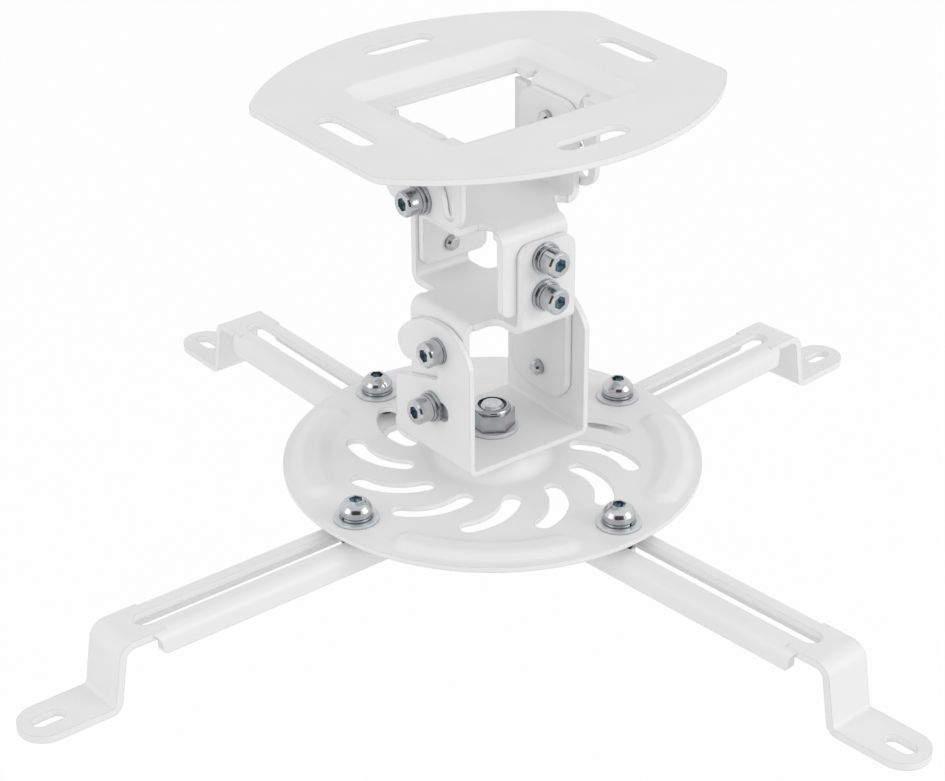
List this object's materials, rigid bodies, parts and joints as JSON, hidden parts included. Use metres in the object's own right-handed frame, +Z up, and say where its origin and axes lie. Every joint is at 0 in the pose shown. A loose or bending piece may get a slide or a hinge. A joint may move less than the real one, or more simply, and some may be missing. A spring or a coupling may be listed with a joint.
{
  "type": "projector ceiling mount",
  "caption": "Ceiling mount for a projector: slotted ceiling plate, two tilting cross links, a swivelling bracket and round plate with sliding arms.",
  "frame": {"origin": "centre of the ceiling plate's top face, on the axis of the round plate", "axes": "+Z up towards the ceiling, X along the tilt screws, Y along the roll screws; the nearer lobed side of the bracket faces +Y"},
  "size_m": [0.3584, 0.3585, 0.1566],
  "materials": {
    "white_coat": "satin powder coat",
    "zinc_screw": "bright zinc plate",
    "zinc_washer": "zinc plate",
    "nylon": "natural nylon"
  },
  "bodies": {
    "ceiling_plate": {"ceiling_plate": "white_coat"},
    "upper_link": {"upper_link": "white_coat", "tilt_pivot_screw_left": "zinc_screw", "tilt_pivot_screw_right": "zinc_screw", "tilt_pivot_washer_left": "zinc_washer", "tilt_pivot_washer_right": "zinc_washer", "tilt_lock_screw_left": "zinc_screw", "tilt_lock_screw_right": "zinc_screw", "tilt_lock_washer_left": "zinc_washer", "tilt_lock_washer_right": "zinc_washer", "roll_pivot_screw_front": "zinc_screw", "roll_pivot_screw_back": "zinc_screw", "roll_pivot_washer_front": "zinc_washer", "roll_pivot_washer_back": "zinc_washer", "roll_lock_screw_front": "zinc_screw", "roll_lock_screw_back": "zinc_screw", "roll_lock_washer_front": "zinc_washer", "roll_lock_washer_back": "zinc_washer"},
    "lower_link": {"lower_link": "white_coat", "base_pivot_screw_left": "zinc_screw", "base_pivot_screw_right": "zinc_screw", "base_pivot_washer_left": "zinc_washer", "base_pivot_washer_right": "zinc_washer", "base_lock_screw_left": "zinc_screw", "base_lock_screw_right": "zinc_screw", "base_lock_washer_left": "zinc_washer", "base_lock_washer_right": "zinc_washer"},
    "swivel_bracket": {"swivel_bracket": "white_coat", "centre_bolt": "zinc_screw", "centre_washer": "zinc_washer", "centre_nut": "zinc_screw", "nylon_ring": "nylon"},
    "round_plate": {"round_plate": "white_coat"},
    "arm_clamp_front_right": {"arm_screw_front_right": "zinc_screw", "arm_ring_front_right": "zinc_washer", "arm_washer_front_right": "zinc_washer", "arm_spacer_front_right": "zinc_washer", "arm_nut_front_right": "zinc_screw"},
    "arm_front_right": {"arm_front_right": "white_coat"},
    "arm_clamp_front_left": {"arm_screw_front_left": "zinc_screw", "arm_ring_front_left": "zinc_washer", "arm_washer_front_left": "zinc_washer", "arm_spacer_front_left": "zinc_washer", "arm_nut_front_left": "zinc_screw"},
    "arm_front_left": {"arm_front_left": "white_coat"},
    "arm_clamp_back_right": {"arm_screw_back_right": "zinc_screw", "arm_ring_back_right": "zinc_washer", "arm_washer_back_right": "zinc_washer", "arm_spacer_back_right": "zinc_washer", "arm_nut_back_right": "zinc_screw"},
    "arm_back_right": {"arm_back_right": "white_coat"},
    "arm_clamp_back_left": {"arm_screw_back_left": "zinc_screw", "arm_ring_back_left": "zinc_washer", "arm_washer_back_left": "zinc_washer", "arm_spacer_back_left": "zinc_washer", "arm_nut_back_left": "zinc_screw"},
    "arm_back_left": {"arm_back_left": "white_coat"}
  },
  "joints": [
    {"name": "tilt", "type": "hinge", "parent": "ceiling_plate", "child": "upper_link", "pos_m": [0, 0, -0.0292], "axis": [1, 0, 0], "range_deg": [-12, 50]},
    {"name": "roll", "type": "hinge", "parent": "upper_link", "child": "lower_link", "pos_m": [0, 0, -0.0596], "axis": [0, 1, 0], "range_deg": [-8, 8]},
    {"name": "base_tilt", "type": "hinge", "parent": "lower_link", "child": "swivel_bracket", "pos_m": [0, -0.0035, -0.0812], "axis": [1, 0, 0], "range_deg": [-6, 13.5]},
    {"name": "swivel", "type": "hinge", "parent": "swivel_bracket", "child": "round_plate", "pos_m": [0, 0, -0.1292], "axis": [0, 0, 1], "continuous": true},
    {"name": "arm_swing_front_right", "type": "hinge", "parent": "round_plate", "child": "arm_clamp_front_right", "pos_m": [0.00511, -0.05838, -0.1292], "axis": [0, 0, 1], "range_deg": [-17, 15]},
    {"name": "arm_slide_front_right", "type": "slide", "parent": "arm_clamp_front_right", "child": "arm_front_right", "axis": [0.1045, -0.9945, 0], "range_m": [-0.023, 0.0009]},
    {"name": "arm_swing_front_left", "type": "hinge", "parent": "round_plate", "child": "arm_clamp_front_left", "pos_m": [-0.05838, -0.00511, -0.1292], "axis": [0, 0, 1], "range_deg": [-12.4, 19.6]},
    {"name": "arm_slide_front_left", "type": "slide", "parent": "arm_clamp_front_left", "child": "arm_front_left", "axis": [-0.9997, -0.0244, 0], "range_m": [-0.0235, 0.0004]},
    {"name": "arm_swing_back_right", "type": "hinge", "parent": "round_plate", "child": "arm_clamp_back_right", "pos_m": [0.05838, 0.00511, -0.1292], "axis": [0, 0, 1], "range_deg": [-17.2, 14.8]},
    {"name": "arm_slide_back_right", "type": "slide", "parent": "arm_clamp_back_right", "child": "arm_back_right", "axis": [0.9942, 0.108, 0], "range_m": [-0.0185, 0.0054]},
    {"name": "arm_swing_back_left", "type": "hinge", "parent": "round_plate", "child": "arm_clamp_back_left", "pos_m": [-0.00511, 0.05838, -0.1292], "axis": [0, 0, 1], "range_deg": [-12.1, 19.9]},
    {"name": "arm_slide_back_left", "type": "slide", "parent": "arm_clamp_back_left", "child": "arm_back_left", "axis": [-0.0192, 0.9998, 0], "range_m": [-0.019, 0.0049]}
  ]
}
